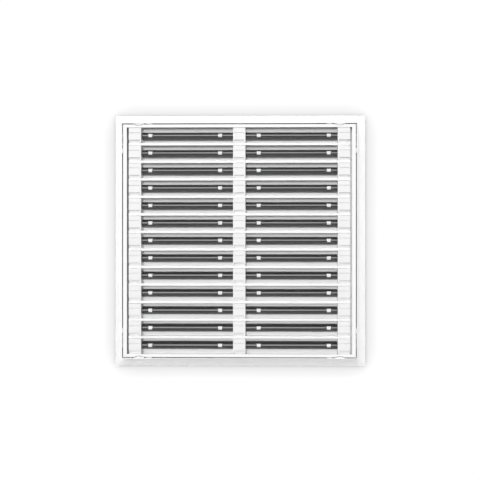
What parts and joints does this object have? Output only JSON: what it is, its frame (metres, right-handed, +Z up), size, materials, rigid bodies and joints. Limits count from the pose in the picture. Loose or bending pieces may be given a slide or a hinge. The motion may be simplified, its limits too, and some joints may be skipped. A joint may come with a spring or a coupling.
{
  "type": "square linear slot diffuser grille",
  "caption": "Square louvred air grille: flanged aluminium frame and a removable core of T bars, white spacer columns and black turning deflector blades.",
  "frame": {"origin": "middle of the face, in the plane of the flange's rear, mounting surface", "axes": "+Z up, +X along the slots, +Y from the duct towards the room; the duct side faces -Y"},
  "size_m": [0.595, 0.032, 0.595],
  "materials": {
    "white_aluminium": "satin white powder coat",
    "white_plastic": "moulded, fine texture",
    "black_plastic": "satin black, extruded; the two clips on each blade are white",
    "zinc_steel": "zinc plated"
  },
  "bodies": {
    "outer_frame": {"frame_top": "white_aluminium", "frame_bottom": "white_aluminium", "frame_left": "white_aluminium", "frame_right": "white_aluminium", "frame_corner_brackets": "zinc_steel", "bracket_rivets": "zinc_steel", "retaining_springs": "white_plastic", "spring_rivets": "zinc_steel"},
    "core": {"core_top": "white_aluminium", "core_bottom": "white_aluminium", "core_left": "white_aluminium", "core_right": "white_aluminium", "core_corner_brackets": "zinc_steel", "core_corner_screws": "zinc_steel", "t_bar_01": "white_aluminium", "t_bar_02": "white_aluminium", "t_bar_03": "white_aluminium", "t_bar_04": "white_aluminium", "t_bar_05": "white_aluminium", "t_bar_06": "white_aluminium", "t_bar_07": "white_aluminium", "t_bar_08": "white_aluminium", "t_bar_09": "white_aluminium", "t_bar_10": "white_aluminium", "t_bar_11": "white_aluminium", "t_bar_12": "white_aluminium", "spacers_left": "white_plastic", "spacers_centre": "white_plastic", "spacers_right": "white_plastic", "tie_rods": "zinc_steel", "tie_rod_nuts": "zinc_steel"},
    "blade_left_01": {"blade_left_01": "black_plastic"},
    "blade_left_02": {"blade_left_02": "black_plastic"},
    "blade_left_03": {"blade_left_03": "black_plastic"},
    "blade_left_04": {"blade_left_04": "black_plastic"},
    "blade_left_05": {"blade_left_05": "black_plastic"},
    "blade_left_06": {"blade_left_06": "black_plastic"},
    "blade_left_07": {"blade_left_07": "black_plastic"},
    "blade_left_08": {"blade_left_08": "black_plastic"},
    "blade_left_09": {"blade_left_09": "black_plastic"},
    "blade_left_10": {"blade_left_10": "black_plastic"},
    "blade_left_11": {"blade_left_11": "black_plastic"},
    "blade_left_12": {"blade_left_12": "black_plastic"},
    "blade_left_13": {"blade_left_13": "black_plastic"},
    "blade_right_01": {"blade_right_01": "black_plastic"},
    "blade_right_02": {"blade_right_02": "black_plastic"},
    "blade_right_03": {"blade_right_03": "black_plastic"},
    "blade_right_04": {"blade_right_04": "black_plastic"},
    "blade_right_05": {"blade_right_05": "black_plastic"},
    "blade_right_06": {"blade_right_06": "black_plastic"},
    "blade_right_07": {"blade_right_07": "black_plastic"},
    "blade_right_08": {"blade_right_08": "black_plastic"},
    "blade_right_09": {"blade_right_09": "black_plastic"},
    "blade_right_10": {"blade_right_10": "black_plastic"},
    "blade_right_11": {"blade_right_11": "black_plastic"},
    "blade_right_12": {"blade_right_12": "black_plastic"},
    "blade_right_13": {"blade_right_13": "black_plastic"}
  },
  "joints": [
    {"name": "core_release", "type": "slide", "parent": "outer_frame", "child": "core", "axis": [0, 1, 0], "range_m": [0, 0.06]},
    {"name": "turn_left_01", "type": "hinge", "parent": "core", "child": "blade_left_01", "pos_m": [-0.12265, -0.005, 0.2472], "axis": [1, 0, 0], "range_deg": [-45, 45]},
    {"name": "turn_left_02", "type": "hinge", "parent": "core", "child": "blade_left_02", "pos_m": [-0.12265, -0.005, 0.206], "axis": [1, 0, 0], "range_deg": [-45, 45]},
    {"name": "turn_left_03", "type": "hinge", "parent": "core", "child": "blade_left_03", "pos_m": [-0.12265, -0.005, 0.1648], "axis": [1, 0, 0], "range_deg": [-45, 45]},
    {"name": "turn_left_04", "type": "hinge", "parent": "core", "child": "blade_left_04", "pos_m": [-0.12265, -0.005, 0.1236], "axis": [1, 0, 0], "range_deg": [-45, 45]},
    {"name": "turn_left_05", "type": "hinge", "parent": "core", "child": "blade_left_05", "pos_m": [-0.12265, -0.005, 0.0824], "axis": [1, 0, 0], "range_deg": [-45, 45]},
    {"name": "turn_left_06", "type": "hinge", "parent": "core", "child": "blade_left_06", "pos_m": [-0.12265, -0.005, 0.0412], "axis": [1, 0, 0], "range_deg": [-45, 45]},
    {"name": "turn_left_07", "type": "hinge", "parent": "core", "child": "blade_left_07", "pos_m": [-0.12265, -0.005, 0], "axis": [1, 0, 0], "range_deg": [-45, 45]},
    {"name": "turn_left_08", "type": "hinge", "parent": "core", "child": "blade_left_08", "pos_m": [-0.12265, -0.005, -0.0412], "axis": [1, 0, 0], "range_deg": [-45, 45]},
    {"name": "turn_left_09", "type": "hinge", "parent": "core", "child": "blade_left_09", "pos_m": [-0.12265, -0.005, -0.0824], "axis": [1, 0, 0], "range_deg": [-45, 45]},
    {"name": "turn_left_10", "type": "hinge", "parent": "core", "child": "blade_left_10", "pos_m": [-0.12265, -0.005, -0.1236], "axis": [1, 0, 0], "range_deg": [-45, 45]},
    {"name": "turn_left_11", "type": "hinge", "parent": "core", "child": "blade_left_11", "pos_m": [-0.12265, -0.005, -0.1648], "axis": [1, 0, 0], "range_deg": [-45, 45]},
    {"name": "turn_left_12", "type": "hinge", "parent": "core", "child": "blade_left_12", "pos_m": [-0.12265, -0.005, -0.206], "axis": [1, 0, 0], "range_deg": [-45, 45]},
    {"name": "turn_left_13", "type": "hinge", "parent": "core", "child": "blade_left_13", "pos_m": [-0.12265, -0.005, -0.2472], "axis": [1, 0, 0], "range_deg": [-45, 45]},
    {"name": "turn_right_01", "type": "hinge", "parent": "core", "child": "blade_right_01", "pos_m": [0.12265, -0.005, 0.2472], "axis": [1, 0, 0], "range_deg": [-45, 45]},
    {"name": "turn_right_02", "type": "hinge", "parent": "core", "child": "blade_right_02", "pos_m": [0.12265, -0.005, 0.206], "axis": [1, 0, 0], "range_deg": [-45, 45]},
    {"name": "turn_right_03", "type": "hinge", "parent": "core", "child": "blade_right_03", "pos_m": [0.12265, -0.005, 0.1648], "axis": [1, 0, 0], "range_deg": [-45, 45]},
    {"name": "turn_right_04", "type": "hinge", "parent": "core", "child": "blade_right_04", "pos_m": [0.12265, -0.005, 0.1236], "axis": [1, 0, 0], "range_deg": [-45, 45]},
    {"name": "turn_right_05", "type": "hinge", "parent": "core", "child": "blade_right_05", "pos_m": [0.12265, -0.005, 0.0824], "axis": [1, 0, 0], "range_deg": [-45, 45]},
    {"name": "turn_right_06", "type": "hinge", "parent": "core", "child": "blade_right_06", "pos_m": [0.12265, -0.005, 0.0412], "axis": [1, 0, 0], "range_deg": [-45, 45]},
    {"name": "turn_right_07", "type": "hinge", "parent": "core", "child": "blade_right_07", "pos_m": [0.12265, -0.005, 0], "axis": [1, 0, 0], "range_deg": [-45, 45]},
    {"name": "turn_right_08", "type": "hinge", "parent": "core", "child": "blade_right_08", "pos_m": [0.12265, -0.005, -0.0412], "axis": [1, 0, 0], "range_deg": [-45, 45]},
    {"name": "turn_right_09", "type": "hinge", "parent": "core", "child": "blade_right_09", "pos_m": [0.12265, -0.005, -0.0824], "axis": [1, 0, 0], "range_deg": [-45, 45]},
    {"name": "turn_right_10", "type": "hinge", "parent": "core", "child": "blade_right_10", "pos_m": [0.12265, -0.005, -0.1236], "axis": [1, 0, 0], "range_deg": [-45, 45]},
    {"name": "turn_right_11", "type": "hinge", "parent": "core", "child": "blade_right_11", "pos_m": [0.12265, -0.005, -0.1648], "axis": [1, 0, 0], "range_deg": [-45, 45]},
    {"name": "turn_right_12", "type": "hinge", "parent": "core", "child": "blade_right_12", "pos_m": [0.12265, -0.005, -0.206], "axis": [1, 0, 0], "range_deg": [-45, 45]},
    {"name": "turn_right_13", "type": "hinge", "parent": "core", "child": "blade_right_13", "pos_m": [0.12265, -0.005, -0.2472], "axis": [1, 0, 0], "range_deg": [-45, 45]}
  ]
}
